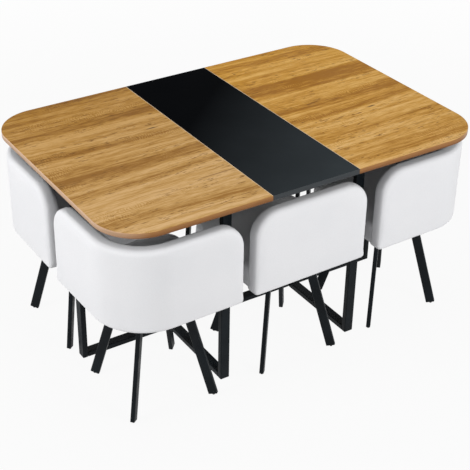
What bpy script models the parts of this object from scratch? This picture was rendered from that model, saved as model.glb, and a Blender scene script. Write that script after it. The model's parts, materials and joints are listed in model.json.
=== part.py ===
"""Space-saving dining set: a rectangular table on a steel tube base, and six low
upholstered chairs that tuck in under its top. The four corner chairs have a back
that wraps two sides, the two middle chairs have a straight back.

Metres, +Z up. The origin is on the floor under the middle of the table, X runs
along the table and the front of the set looks along -Y.
"""

import math

import bmesh
import bpy
from mathutils import Matrix, Vector

SET_NAME = "dining_set"

# Table top
TOP_HEIGHT = 0.749
TOP_THICKNESS = 0.018
TOP_CORNER_RADIUS = 0.157
TOP_EDGE_RADIUS = 0.0015
STRIP_WIDTH = 0.338

# Table base, flat steel tube laid and stood in three closed frames
TUBE_WIDTH = 0.035
TUBE_DEPTH = 0.020
TUBE_CORNER_RADIUS = 0.0025

# Chair as a whole
CHAIR_SIDE = 0.450
FREE_SIDE_SETBACK = 0.012

# Upholstered back
BACK_HEIGHT = 0.299
BACK_THICKNESS = 0.054
BACK_END_REACH = 0.003
BACK_EDGE_RADIUS = 0.018
BACK_HEM_RADIUS = 0.007
BACK_HEM_RISE = 0.034
BACK_TOP_CORNER_RADIUS = 0.088
BACK_BOTTOM_CORNER_RADIUS = 0.012
BACK_BEND_RADIUS = 0.185

# Seat board and cushion
BOARD_THICKNESS = 0.018
BOARD_INSET = 0.004
CUSHION_SIDE_HEIGHT = 0.034
CUSHION_SHOULDER = 0.022
CUSHION_CROWN = 0.008
CUSHION_DRAW = 0.003
SEAT_FREE_CORNER_RADIUS = 0.070
SEAT_WING_CORNER_RADIUS = 0.016

# Chair legs, flat steel tube with a welded plate and a glide
LEG_WIDTH = 0.032
LEG_DEPTH = 0.015
LEG_CORNER_RADIUS = 0.003
LEG_FOOT_INSET = 0.073
LEG_TOP_INSET = 0.151
LEG_CENTRE_SHIFT = 0.011
LEG_END_LIFT = 0.007
GLIDE_RIM = 0.003
PLATE_RIM = 0.012
PLATE_THICKNESS = 0.003

# Room between the pushed-in chairs and the table
BACK_TO_TOP = 0.047
MIDDLE_CHAIR_TO_CROSS_FRAME = 0.025
CORNER_SEAT_TO_CROSS_FRAME = 0.002
SEAT_TO_LONG_FRAME = 0.022
BACK_TO_END_POST = 0.0345
BACK_TO_CROSS_POST = 0.051
BACK_PAST_TOP_END = 0.005
TOP_PAST_BACK = 0.005
MIDDLE_CHAIR_STEP = 0.002

# Sizes that follow. The backs just clear the top, the base's frames stand in the
# gaps that the chairs leave, and the top covers the chairs.
SEAT_UNDERSIDE = TOP_HEIGHT - TOP_THICKNESS - BACK_TO_TOP - BACK_HEIGHT
LEG_FOOT_REACH = CHAIR_SIDE / 2 - LEG_FOOT_INSET
LEG_TOP_REACH = CHAIR_SIDE / 2 - LEG_TOP_INSET
FREE_REACH = CHAIR_SIDE / 2 - FREE_SIDE_SETBACK
BACK_REACH = CHAIR_SIDE / 2 - BACK_THICKNESS
CROSS_FRAME_OFFSET = CHAIR_SIDE / 2 + MIDDLE_CHAIR_TO_CROSS_FRAME + TUBE_WIDTH / 2
CORNER_CHAIR_X = CROSS_FRAME_OFFSET + TUBE_WIDTH / 2 + CORNER_SEAT_TO_CROSS_FRAME + FREE_REACH
CORNER_CHAIR_Y = TUBE_WIDTH / 2 + SEAT_TO_LONG_FRAME + FREE_REACH
MIDDLE_CHAIR_Y = CORNER_CHAIR_Y + MIDDLE_CHAIR_STEP
LONG_FRAME_SPAN = 2 * (CORNER_CHAIR_X + BACK_REACH - BACK_TO_END_POST)
CROSS_FRAME_SPAN = 2 * (CORNER_CHAIR_Y + BACK_REACH - BACK_TO_CROSS_POST)
TOP_LENGTH = 2 * (CORNER_CHAIR_X + CHAIR_SIDE / 2 - BACK_PAST_TOP_END)
TOP_WIDTH = 2 * (CORNER_CHAIR_Y + CHAIR_SIDE / 2 + TOP_PAST_BACK)

# The chairs are pushed in by hand: four stand a little off their nominal place, and
# the front ones are turned by this many degrees
FRONT_LEFT_SHIFT = (-0.0015, -0.0150)
FRONT_MIDDLE_SHIFT = (0.0, 0.0050)
FRONT_RIGHT_SHIFT = (0.0170, 0.0170)
REAR_LEFT_SHIFT = (0.0, -0.0110)
FRONT_YAW = 1.2

# Where the legs of four chairs are screwed on: off the nominal place in the chair's
# own axes, and turned in degrees
FRONT_LEFT_LEGS = (-0.001, -0.010, -3.5)
FRONT_MIDDLE_LEGS = (0.005, -0.012, 0.0)
FRONT_RIGHT_LEGS = (-0.011, 0.013, 0.0)
REAR_LEFT_LEGS = (0.016, -0.010, 0.0)

# Clearance between pieces that touch
GAP = 0.0003

# Fineness of the round shapes
TOP_CORNER_STEPS = 10
BACK_CORNER_STEPS = 7
BACK_FOOT_STEPS = 3
BACK_BEND_STEPS = 12
SEAT_CORNER_STEPS = 5
SEAT_SIDE_STEPS = 4
EDGE_SEGMENTS = 2
PAD_EDGE_SEGMENTS = 3

# The cushion's rise over its shoulder and crown: how far in from the rim, as a
# share of the seat, and how high, as a share of the crown
CROWN_SHARES = ((0.24, 0.55), (0.50, 0.84), (0.76, 0.97))

SURFACES = {
    "wood": ((0.51, 0.28, 0.09, 1.0), 0.45, 0.0),
    "black_board": ((0.012, 0.014, 0.016, 1.0), 0.35, 0.0),
    "black_steel": ((0.018, 0.020, 0.022, 1.0), 0.40, 0.6),
    "white_leather": ((0.84, 0.84, 0.85, 1.0), 0.50, 0.0),
    "plywood": ((0.42, 0.30, 0.18, 1.0), 0.70, 0.0),
}


def clear_objects():
    """Remove every object of the open file."""
    for item in list(bpy.data.objects):
        bpy.data.objects.remove(item, do_unlink=True)


def make_collection(name):
    collection = bpy.data.collections.new(name)
    bpy.context.scene.collection.children.link(collection)
    return collection


def make_material(node_name, surface):
    """A Principled BSDF of its own for one sub-part."""
    colour, roughness, metallic = SURFACES[surface]
    material = bpy.data.materials.new(f"{node_name}_{surface}")
    material.use_nodes = True
    shader = material.node_tree.nodes["Principled BSDF"]
    shader.inputs["Base Color"].default_value = colour
    shader.inputs["Roughness"].default_value = roughness
    shader.inputs["Metallic"].default_value = metallic
    material.diffuse_color = colour
    return material


def add_piece(name, data, surface, collection, parent=None):
    """One sub-part as an object with its own material, under its parent."""
    piece = bpy.data.objects.new(name, data)
    piece.data.materials.append(make_material(name, surface))
    collection.objects.link(piece)
    piece.parent = parent
    return piece


def mesh_from(bm, name):
    """A smooth mesh whose faces all point out."""
    bmesh.ops.recalc_face_normals(bm, faces=bm.faces)
    if bm.calc_volume(signed=True) < 0:
        bmesh.ops.reverse_faces(bm, faces=bm.faces)
    mesh = bpy.data.meshes.new(name)
    bm.to_mesh(mesh)
    bm.free()
    mesh.shade_smooth()
    mesh.set_sharp_from_angle(angle=math.radians(40))
    return mesh


def round_edges(piece, width, segments):
    """Weld a piece's caps, then round its sharp edges."""
    weld = piece.modifiers.new("weld", "WELD")
    weld.merge_threshold = GAP / 10
    bevel = piece.modifiers.new("rounded_edges", "BEVEL")
    bevel.width = width
    bevel.segments = segments
    bevel.limit_method = "ANGLE"
    bevel.angle_limit = math.radians(50)


def arc(centre, radius, start, end, steps):
    """Points on an arc, both ends included, angles in degrees."""
    angles = [math.radians(start + (end - start) * i / steps) for i in range(steps + 1)]
    return [(centre[0] + radius * math.cos(a), centre[1] + radius * math.sin(a)) for a in angles]


def rounded_outline(low, high, radii, steps):
    """A rectangle with its own radius at each corner, anticlockwise from low x, low y.

    A radius of zero leaves that corner square.
    """
    corners = [
        (low[0], low[1], 1, 1, 180),
        (high[0], low[1], -1, 1, 270),
        (high[0], high[1], -1, -1, 0),
        (low[0], high[1], 1, -1, 90),
    ]
    points = []
    for (x, y, inward_x, inward_y, start), radius in zip(corners, radii):
        centre = (x + inward_x * radius, y + inward_y * radius)
        points += arc(centre, radius, start, start + 90, steps) if radius else [(x, y)]
    return points


def flat_board(name, outline, bottom, thickness, surface, collection, parent=None):
    """A sheet of board cut to an outline: a filled flat curve, extruded."""
    curve = bpy.data.curves.new(name, "CURVE")
    curve.dimensions = "2D"
    curve.fill_mode = "BOTH"
    curve.extrude = thickness / 2
    spline = curve.splines.new("POLY")
    spline.points.add(len(outline) - 1)
    for point, (x, y) in zip(spline.points, outline):
        point.co = (x, y, 0, 1)
    spline.use_cyclic_u = True
    board = add_piece(name, curve, surface, collection, parent)
    board.location.z = bottom + thickness / 2
    return board


def make_table_top(collection):
    """Three boards side by side: wood, the black strip, wood."""
    bottom = TOP_HEIGHT - TOP_THICKNESS
    half_length = TOP_LENGTH / 2
    half_width = TOP_WIDTH / 2
    half_strip = STRIP_WIDTH / 2
    radius = TOP_CORNER_RADIUS
    boards = {
        "table_top_left": ((-half_length, -half_strip - GAP), (radius, 0, 0, radius), "wood"),
        "table_top_strip": ((-half_strip, half_strip), (0, 0, 0, 0), "black_board"),
        "table_top_right": ((half_strip + GAP, half_length), (0, radius, radius, 0), "wood"),
    }
    for name, ((low_x, high_x), radii, surface) in boards.items():
        outline = rounded_outline(
            (low_x, -half_width), (high_x, half_width), radii, TOP_CORNER_STEPS)
        board = flat_board(name, outline, bottom, TOP_THICKNESS, surface, collection)
        round_edges(board, TOP_EDGE_RADIUS, EDGE_SEGMENTS)


def make_tube(name, low, high, collection):
    """A straight length of the base's tube between two opposite corners."""
    bm = bmesh.new()
    bmesh.ops.create_cube(bm, size=1)
    size = Vector(high) - Vector(low)
    bmesh.ops.scale(bm, vec=size, verts=bm.verts)
    tube = add_piece(name, mesh_from(bm, name), "black_steel", collection)
    tube.location = (Vector(low) + Vector(high)) / 2
    round_edges(tube, TUBE_CORNER_RADIUS, EDGE_SEGMENTS)


def make_table_base(collection):
    """One long frame and two cross frames, welded where they meet."""
    top = TOP_HEIGHT - TOP_THICKNESS - GAP
    half_tube = TUBE_WIDTH / 2
    levels = {"floor": (0, TUBE_DEPTH), "top": (top - TUBE_DEPTH, top)}

    end_outer = LONG_FRAME_SPAN / 2
    end_inner = end_outer - TUBE_DEPTH
    cross_outer = CROSS_FRAME_SPAN / 2
    cross_inner = cross_outer - TUBE_DEPTH
    for side, sign in (("left", -1), ("right", 1)):
        near, far = sorted((sign * end_inner, sign * end_outer))
        make_tube(f"end_post_{side}", (near, -half_tube, 0), (far, half_tube, top), collection)
        middle = sign * CROSS_FRAME_OFFSET
        low_x, high_x = middle - half_tube, middle + half_tube
        for place, facing in (("front", -1), ("rear", 1)):
            near, far = sorted((facing * cross_inner, facing * cross_outer))
            make_tube(f"cross_post_{place}_{side}", (low_x, near, 0), (high_x, far, top),
                      collection)
        for level, (low_z, high_z) in levels.items():
            reach = cross_inner - GAP
            make_tube(f"cross_{level}_rail_{side}", (low_x, -reach, low_z),
                      (high_x, reach, high_z), collection)
            near, far = sorted((sign * (CROSS_FRAME_OFFSET + half_tube + GAP),
                                sign * (end_inner - GAP)))
            make_tube(f"long_{level}_rail_{side}", (near, -half_tube, low_z),
                      (far, half_tube, high_z), collection)
    reach = CROSS_FRAME_OFFSET - half_tube - GAP
    low_z, high_z = levels["floor"]
    make_tube("long_floor_rail_middle", (-reach, -half_tube, low_z), (reach, half_tube, high_z),
              collection)


def edge_radius(height):
    """The pad's edge is tight along its hem and full from a little way above it."""
    share = min(1, max(0, (height - SEAT_UNDERSIDE) / BACK_HEM_RISE))
    return BACK_HEM_RADIUS + (BACK_EDGE_RADIUS - BACK_HEM_RADIUS) * share


def back_outline(length):
    """The back seen flat from outside: full corners at the top, small ones below.

    Its ends reach a little past the chair's square.
    """
    start, end = -BACK_END_REACH, length + BACK_END_REACH
    bottom = SEAT_UNDERSIDE
    hem = bottom + BACK_HEM_RISE
    radius = BACK_TOP_CORNER_RADIUS
    top = bottom + BACK_HEIGHT - radius
    small = BACK_BOTTOM_CORNER_RADIUS
    outline = arc((start + small, bottom + small), small, 180, 270, BACK_FOOT_STEPS)
    outline += arc((end - small, bottom + small), small, 270, 360, BACK_FOOT_STEPS)
    outline += [(end, hem)]
    outline += arc((end - radius, top), radius, 0, 90, BACK_CORNER_STEPS)
    outline += arc((start + radius, top), radius, 90, 180, BACK_CORNER_STEPS)
    return outline + [(start, hem)]


def flat_pad(length):
    """The back's pad before it is bent: X along it, Y outwards, Z up.

    The outline is raised ring by ring from the inner face to the outer one, with
    the rings drawn in at both faces to round the pad's edge.
    """
    outline = [Vector(point) for point in back_outline(length)]
    inwards = []
    for index, point in enumerate(outline):
        before = (point - outline[index - 1]).normalized()
        after = (outline[(index + 1) % len(outline)] - point).normalized()
        along = (before + after).normalized()
        inwards.append(Vector((-along.y, along.x)))
    quarter = [math.pi / 2 * step / PAD_EDGE_SEGMENTS for step in range(PAD_EDGE_SEGMENTS + 1)]
    rings = [(-1, turn) for turn in reversed(quarter)] + [(1, turn) for turn in quarter]
    bm = bmesh.new()
    face = bm.faces.new([bm.verts.new((point.x, 0, point.y)) for point in outline])
    bmesh.ops.duplicate(bm, geom=[face])
    for number, (side, turn) in enumerate(rings):
        if number:
            face = bmesh.ops.extrude_discrete_faces(bm, faces=[face])["faces"][0]
            ring = [face]
        else:
            ring = bm.faces[:]
        for level in ring:
            for vert, point, inward in zip(level.verts, outline, inwards):
                radius = edge_radius(point.y)
                placed = point + inward * radius * (1 - math.cos(turn))
                depth = BACK_THICKNESS / 2 - radius * (1 - math.sin(turn))
                vert.co = Vector((placed.x, side * depth, placed.y))
    bmesh.ops.remove_doubles(bm, verts=bm.verts, dist=GAP / 10)
    return bm


def bend_point(point, straight):
    """Wrap a point of the flat pad round the corner of the chair."""
    half_side = CHAIR_SIDE / 2
    middle_radius = BACK_BEND_RADIUS - BACK_THICKNESS / 2
    bend = middle_radius * math.pi / 2
    centre = -half_side + BACK_BEND_RADIUS
    radius = middle_radius + point.y
    if point.x < straight:
        return Vector((centre - radius, half_side - point.x, point.z))
    if point.x > straight + bend:
        return Vector((centre + point.x - straight - bend, centre - radius, point.z))
    angle = (point.x - straight) / middle_radius
    return Vector((centre - radius * math.cos(angle), centre - radius * math.sin(angle), point.z))


def corner_back_mesh(name):
    """The wrapped back: the flat pad cut in columns over the bend, then bent."""
    straight = CHAIR_SIDE - BACK_BEND_RADIUS
    bend = (BACK_BEND_RADIUS - BACK_THICKNESS / 2) * math.pi / 2
    bm = flat_pad(2 * straight + bend)
    for step in range(BACK_BEND_STEPS + 1):
        cut = straight + bend * step / BACK_BEND_STEPS
        bmesh.ops.bisect_plane(bm, geom=bm.verts[:] + bm.edges[:] + bm.faces[:],
                               dist=GAP / 10, plane_co=(cut, 0, 0), plane_no=(1, 0, 0))
    for vert in bm.verts:
        vert.co = bend_point(vert.co, straight)
    return mesh_from(bm, name)


def straight_back_mesh(name):
    """The middle chairs' back: the flat pad as it is, along the rear of the seat."""
    bm = flat_pad(CHAIR_SIDE)
    half_side = CHAIR_SIDE / 2
    for vert in bm.verts:
        vert.co = Vector((half_side - vert.co.x, -half_side + BACK_THICKNESS / 2 - vert.co.y,
                          vert.co.z))
    return mesh_from(bm, name)


def seat_plan(wrapped, inset):
    """The seat's lowest and highest corner and its corner radii, seen from above.

    The back stands along the low sides: both on a corner chair, only the low Y
    side on a middle chair. The inset draws the free sides in.
    """
    against_back = -BACK_REACH + GAP
    free = FREE_REACH - inset
    low = (against_back if wrapped else -free, against_back)
    high = (free, free)
    inside_bend = BACK_BEND_RADIUS - BACK_THICKNESS
    wing = SEAT_WING_CORNER_RADIUS
    front = SEAT_FREE_CORNER_RADIUS
    radii = (inside_bend, wing, front, wing) if wrapped else (wing, wing, front, front)
    return low, high, radii


def cushion_outline(low, high, radii):
    """The seat's outline with its sides drawn in between the corners."""
    corners = rounded_outline(low, high, radii, SEAT_CORNER_STEPS)
    per_corner = SEAT_CORNER_STEPS + 1
    points = []
    for index in range(len(radii)):
        run = corners[index * per_corner:(index + 1) * per_corner]
        points += run
        start = Vector(run[-1])
        end = Vector(corners[(index + 1) * per_corner % len(corners)])
        along = (end - start).normalized()
        inwards = Vector((-along.y, along.x))
        for step in range(1, SEAT_SIDE_STEPS):
            share = step / SEAT_SIDE_STEPS
            drawn = CUSHION_DRAW * math.sin(math.pi * share)
            points.append(tuple(start.lerp(end, share) + inwards * drawn))
    return points


def cushion_mesh(name, wrapped):
    """The seat cushion, raised ring by ring from its flat underside to its crown."""
    low, high, radii = seat_plan(wrapped, 0)
    centre = Vector(((low[0] + high[0]) / 2, (low[1] + high[1]) / 2, 0))
    half = (high[0] - low[0]) / 2
    bottom = SEAT_UNDERSIDE + BOARD_THICKNESS + GAP
    shoulder_top = bottom + CUSHION_SIDE_HEIGHT + CUSHION_SHOULDER
    rings = [(0, bottom + CUSHION_SIDE_HEIGHT)]
    for step in range(1, PAD_EDGE_SEGMENTS + 1):
        turn = math.pi / 2 * step / PAD_EDGE_SEGMENTS
        rings.append((CUSHION_SHOULDER * (1 - math.cos(turn)) / half,
                      bottom + CUSHION_SIDE_HEIGHT + CUSHION_SHOULDER * math.sin(turn)))
    rim_share = CUSHION_SHOULDER / half
    for inward_share, rise_share in CROWN_SHARES:
        rings.append((rim_share + (1 - rim_share) * inward_share,
                      shoulder_top + CUSHION_CROWN * rise_share))
    bm = bmesh.new()
    outline = cushion_outline(low, high, radii)
    base = [Vector((x, y, bottom)) for x, y in outline]
    face = bm.faces.new([bm.verts.new(point) for point in base])
    bmesh.ops.duplicate(bm, geom=[face])
    for inward_share, height in rings:
        face = bmesh.ops.extrude_discrete_faces(bm, faces=[face])["faces"][0]
        for vert, point in zip(face.verts, base):
            vert.co = centre + (point - centre) * (1 - inward_share)
            vert.co.z = height
    bmesh.ops.poke(bm, faces=[face])
    crown = max(bm.verts, key=lambda v: v.co.z)
    crown.co.z = shoulder_top + CUSHION_CROWN
    bmesh.ops.remove_doubles(bm, verts=bm.verts, dist=GAP / 10)
    return mesh_from(bm, name)


def leg_mesh(name):
    """A leg about the point where its middle meets the floor: X is its wide way,
    Z runs up the tube. The glide's foot and the plate's top end level."""
    lean = leg_lean()
    board_level = SEAT_UNDERSIDE - GAP
    bm = bmesh.new()
    bmesh.ops.create_cube(bm, size=1)
    bmesh.ops.scale(bm, vec=(LEG_WIDTH, LEG_DEPTH, 1), verts=bm.verts)
    upright = [e for e in bm.edges if e.verts[0].co.z * e.verts[1].co.z < 0]
    bmesh.ops.bevel(bm, geom=upright, offset=LEG_CORNER_RADIUS, segments=EDGE_SEGMENTS,
                    profile=0.5, affect="EDGES", material=-1)
    top = max(bm.faces, key=lambda f: f.calc_center_median().z)
    foot = min(bm.faces, key=lambda f: f.calc_center_median().z)

    def set_level(face, height):
        for vert in face.verts:
            vert.co.z = (height - vert.co.x * math.sin(lean)) / math.cos(lean)

    set_level(top, board_level - PLATE_THICKNESS)
    for vert in foot.verts:
        vert.co.z = LEG_END_LIFT
    top = widen_face(bm, top, (LEG_WIDTH, LEG_DEPTH), PLATE_RIM)
    set_level(top, board_level - PLATE_THICKNESS)
    top = widen_face(bm, top, (LEG_WIDTH, LEG_DEPTH), 0)
    set_level(top, board_level)
    foot = widen_face(bm, foot, (LEG_WIDTH, LEG_DEPTH), -GLIDE_RIM)
    foot = widen_face(bm, foot, (LEG_WIDTH, LEG_DEPTH), 0)
    set_level(foot, 0)
    return mesh_from(bm, name)


def widen_face(bm, face, size, rim):
    """Step a face out by a rim all round, or in where the rim is negative."""
    new_face = bmesh.ops.extrude_discrete_faces(bm, faces=[face])["faces"][0]
    for vert in new_face.verts:
        vert.co.x *= 1 + 2 * rim / size[0]
        vert.co.y *= 1 + 2 * rim / size[1]
    return new_face


def leg_lean():
    """How far a leg leans in towards the middle of its chair."""
    foot = math.hypot(LEG_FOOT_REACH, LEG_FOOT_REACH)
    top = math.hypot(LEG_TOP_REACH, LEG_TOP_REACH)
    return math.atan2(foot - top, SEAT_UNDERSIDE)


def make_chair(name, place, turn, wrapped, legs, collection):
    """One chair under an empty at its middle on the floor."""
    chair = bpy.data.objects.new(name, None)
    collection.objects.link(chair)
    chair.location = (*place, 0)
    chair.rotation_euler.z = math.radians(turn)

    back_mesh = corner_back_mesh if wrapped else straight_back_mesh
    add_piece(f"{name}_back", back_mesh(f"{name}_back"), "white_leather", collection, chair)
    add_piece(f"{name}_cushion", cushion_mesh(f"{name}_cushion", wrapped), "white_leather",
              collection, chair)
    low, high, radii = seat_plan(wrapped, BOARD_INSET)
    outline = rounded_outline(low, high, radii, SEAT_CORNER_STEPS)
    flat_board(f"{name}_seat_board", outline, SEAT_UNDERSIDE, BOARD_THICKNESS, "plywood",
               collection, chair)
    nominal = LEG_CENTRE_SHIFT if wrapped else 0
    middle = Vector((nominal + legs[0], nominal + legs[1], 0))
    leg_turn = Matrix.Rotation(math.radians(legs[2]), 4, "Z")
    corners = {"a": (-1, -1), "b": (1, -1), "c": (1, 1), "d": (-1, 1)}
    for letter, (side_x, side_y) in corners.items():
        leg_name = f"{name}_leg_{letter}"
        leg = add_piece(leg_name, leg_mesh(leg_name), "black_steel", collection, chair)
        leg.location = middle + leg_turn @ (Vector((side_x, side_y, 0)) * LEG_FOOT_REACH)
        outwards = leg_turn @ Matrix.Rotation(math.atan2(side_y, side_x), 4, "Z")
        leg.rotation_euler = (outwards @ Matrix.Rotation(-leg_lean(), 4, "Y")).to_euler()


def make_chairs(collection):
    x, y = CORNER_CHAIR_X, CORNER_CHAIR_Y
    square = (0, 0)
    legs_square = (0, 0, 0)
    places = {
        "chair_front_left": ((-x, -y), FRONT_LEFT_SHIFT, FRONT_YAW, True, FRONT_LEFT_LEGS),
        "chair_front_middle": ((0, -MIDDLE_CHAIR_Y), FRONT_MIDDLE_SHIFT, FRONT_YAW, False,
                               FRONT_MIDDLE_LEGS),
        "chair_front_right": ((x, -y), FRONT_RIGHT_SHIFT, 90 + FRONT_YAW, True,
                              FRONT_RIGHT_LEGS),
        "chair_rear_right": ((x, y), square, 180, True, legs_square),
        "chair_rear_middle": ((0, MIDDLE_CHAIR_Y), square, 180, False, legs_square),
        "chair_rear_left": ((-x, y), REAR_LEFT_SHIFT, 270, True, REAR_LEFT_LEGS),
    }
    for name, (nominal, shift, turn, wrapped, legs) in places.items():
        place = (nominal[0] + shift[0], nominal[1] + shift[1])
        make_chair(name, place, turn, wrapped, legs, collection)


clear_objects()
parts = make_collection(SET_NAME)
make_table_top(parts)
make_table_base(parts)
make_chairs(parts)
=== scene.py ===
"""Space-saving dining set: a rectangular table on a steel tube base, with six low
leatherette chairs that tuck in under its top. The looks, piece by piece, around the
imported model. Metres, +Z up, the floor at zero under the middle of the table."""

import json
import math

import bmesh
import bpy
from mathutils import Matrix, Vector
from mathutils.bvhtree import BVHTree

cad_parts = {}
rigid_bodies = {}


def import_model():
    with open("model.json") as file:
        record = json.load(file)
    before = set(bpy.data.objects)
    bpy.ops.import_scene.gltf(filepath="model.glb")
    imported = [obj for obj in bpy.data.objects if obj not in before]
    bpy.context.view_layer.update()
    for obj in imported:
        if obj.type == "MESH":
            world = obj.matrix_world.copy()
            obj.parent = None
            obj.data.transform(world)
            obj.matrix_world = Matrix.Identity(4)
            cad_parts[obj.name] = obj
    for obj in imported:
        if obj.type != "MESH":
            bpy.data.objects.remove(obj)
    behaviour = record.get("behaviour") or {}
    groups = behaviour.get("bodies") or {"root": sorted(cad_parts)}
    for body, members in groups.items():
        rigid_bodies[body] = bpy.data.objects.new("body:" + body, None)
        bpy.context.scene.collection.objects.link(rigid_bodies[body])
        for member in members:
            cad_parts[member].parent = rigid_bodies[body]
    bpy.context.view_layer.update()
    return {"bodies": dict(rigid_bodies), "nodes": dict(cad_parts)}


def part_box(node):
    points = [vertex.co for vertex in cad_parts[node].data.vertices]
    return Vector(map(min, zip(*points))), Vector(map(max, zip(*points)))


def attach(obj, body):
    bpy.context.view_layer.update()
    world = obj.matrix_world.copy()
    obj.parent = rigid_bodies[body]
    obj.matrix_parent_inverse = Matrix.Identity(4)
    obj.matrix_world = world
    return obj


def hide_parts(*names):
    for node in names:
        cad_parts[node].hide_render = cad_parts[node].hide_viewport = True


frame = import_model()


# The viewpoint: from the left front corner and above, through a small tele lens, with
# the whole set in a square frame.
CAMERA_PLACE = (-2.0274, -3.0936, 2.5496)
CAMERA_RIGHT = (0.8563, -0.5165, -0.0022)
CAMERA_UP = (0.2708, 0.4455, 0.8533)
CAMERA_LENS = 90.47
CAMERA_SHIFT = (0.0872, 0.0059)


def new_item(name, data):
    """A new object in the scene."""
    item = bpy.data.objects.new(name, data)
    bpy.context.scene.collection.objects.link(item)
    return item


camera = new_item("camera", bpy.data.cameras.new("camera"))
right, up = Vector(CAMERA_RIGHT), Vector(CAMERA_UP)
turned = Matrix((right, up, right.cross(up))).transposed().to_4x4()
camera.matrix_world = Matrix.Translation(CAMERA_PLACE) @ turned
camera.data.lens = CAMERA_LENS
camera.data.shift_x, camera.data.shift_y = CAMERA_SHIFT
bpy.context.scene.camera = camera


# Table base: flat steel tube, 35 by 20 mm, sawn to length, welded into three closed
# frames and powder coated black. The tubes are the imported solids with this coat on;
# the weld beads and the screws that hold the top are made here.
COAT_COLOUR = (14, 18, 21)
COAT_THICK_COLOUR = (22, 27, 31)
WELD_RADIUS = 0.0026
WELD_WAIST = 0.7
WELD_SIDES = 8
WELD_STEP = 0.0020
ROUND_SIDES = 20
SCREW_HEAD_RADIUS = 0.0042
SCREW_HEAD_HEIGHT = 0.0024
SCREW_ROUNDING = 0.6
RECESS_WIDTH = 0.28
SCREW_COLOUR = (52, 54, 56)
SCREWS_PER_CROSS_RAIL = 4
SCREWS_PER_LONG_RAIL = 2
GLOSS_CHANGE = 0.06
NOISE_LIMITS = (0.35, 0.65)
JOIN_DISTANCE = 0.00001
UPSIDE_DOWN = Matrix.Rotation(math.pi, 4, "X")


def srgb(colour):
    """A screen colour, 0 to 255, as the linear colour that a shader takes."""
    linear = [c / 255 / 12.92 if c <= 10 else ((c / 255 + 0.055) / 1.055) ** 2.4 for c in colour]
    return (*linear, 1.0)


def put(tree, socket, value):
    """Give a socket its value, or link it where the value is another node's output."""
    if isinstance(value, bpy.types.NodeSocket):
        tree.links.new(value, socket)
    else:
        socket.default_value = value


def add_node(tree, kind, values=None, **settings):
    """A node with its settings, and the values or links of its inputs."""
    node = tree.nodes.new(kind)
    for key, value in settings.items():
        setattr(node, key, value)
    for key, value in (values or {}).items():
        put(tree, node.inputs[key], value)
    return node


def mix_colours(tree, factor, first, second):
    """Two colours mixed; this node takes them at its sockets six and seven."""
    node = add_node(tree, "ShaderNodeMix", {0: factor, 6: first, 7: second},
                    data_type="RGBA")
    return node.outputs[2]


def spread(tree, value, from_low, from_high, to_low=0.0, to_high=1.0):
    """A value stretched from one range to another, and held at its ends."""
    node = add_node(tree, "ShaderNodeMapRange",
                    {"Value": value, "From Min": from_low, "From Max": from_high,
                     "To Min": to_low, "To Max": to_high})
    return node.outputs["Result"]


def reckon(tree, operation, *values):
    """One step of arithmetic on numbers."""
    return add_node(tree, "ShaderNodeMath", dict(enumerate(values)), operation=operation).outputs[0]


def reckon_vector(tree, operation, *values, result="Vector"):
    """One step of arithmetic on vectors or colours."""
    node = add_node(tree, "ShaderNodeVectorMath", dict(enumerate(values)), operation=operation)
    return node.outputs[result]


def stretched_noise(tree, place, stretch, detail=2.0, roughness=0.5):
    """Noise drawn out by its own number of waves a metre along each axis."""
    return add_node(tree, "ShaderNodeTexNoise",
                    {"Vector": reckon_vector(tree, "MULTIPLY", place, stretch), "Scale": 1.0,
                     "Detail": detail, "Roughness": roughness}).outputs["Fac"]


def new_group(name, values, results):
    """A node group on a Vector and some values: its tree, its inputs and its results."""
    group = bpy.data.node_groups.new(name, "ShaderNodeTree")
    group.interface.new_socket("Vector", in_out="INPUT", socket_type="NodeSocketVector")
    for socket, value in values.items():
        made = group.interface.new_socket(socket, in_out="INPUT", socket_type="NodeSocketFloat")
        made.default_value = value
    for socket in results:
        group.interface.new_socket(socket, in_out="OUTPUT", socket_type="NodeSocketFloat")
    given = group.nodes.new("NodeGroupInput").outputs
    return group, given, group.nodes.new("NodeGroupOutput").inputs


def use_group(tree, group, place, **values):
    """The results of a group placed in a material with its own values."""
    return add_node(tree, "ShaderNodeGroup", {"Vector": place, **values}, node_tree=group).outputs


def new_material(name, **sockets):
    """A Principled material: its tree, its shader and the object coordinates."""
    material = bpy.data.materials.new(name)
    material.use_nodes = True
    tree = material.node_tree
    shader = tree.nodes["Principled BSDF"]
    for socket, value in sockets.items():
        shader.inputs[socket.replace("_", " ")].default_value = value
    place = tree.nodes.new("ShaderNodeTexCoord").outputs["Object"]
    return material, tree, shader, place


def make_patchy_group():
    """Slow cloudy change over a surface, from Low to High: handling, dust, film."""
    group, given, results = new_group("patchy", {"Scale": 6.0, "Low": 0.4, "High": 0.6}, ["Value"])
    noise = add_node(group, "ShaderNodeTexNoise",
                     {"Vector": given["Vector"], "Scale": given["Scale"], "Detail": 4.0})
    cloud = spread(group, noise.outputs["Fac"], *NOISE_LIMITS, given["Low"], given["High"])
    group.links.new(cloud, results["Value"])
    return group


def make_pebble_group():
    """The small soft bumps of a sprayed coat or a moulded plastic."""
    group, given, results = new_group("pebble", {"Scale": 400.0}, ["Height"])
    cells = add_node(group, "ShaderNodeTexVoronoi",
                     {"Vector": given["Vector"], "Scale": given["Scale"]}, feature="SMOOTH_F1")
    group.links.new(cells.outputs["Distance"], results["Height"])
    return group


patchy = make_patchy_group()
pebble = make_pebble_group()


def set_gloss(tree, shader, place, scale, low, high):
    """Roughness in slow patches between two values."""
    gloss = use_group(tree, patchy, place, Scale=scale, Low=low, High=high)
    tree.links.new(gloss["Value"], shader.inputs["Roughness"])


def set_bump(tree, shader, height, strength, distance):
    """Fine relief on a material's surface."""
    bump = add_node(tree, "ShaderNodeBump",
                    {"Height": height, "Strength": strength, "Distance": distance})
    tree.links.new(bump.outputs["Normal"], shader.inputs["Normal"])


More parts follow.
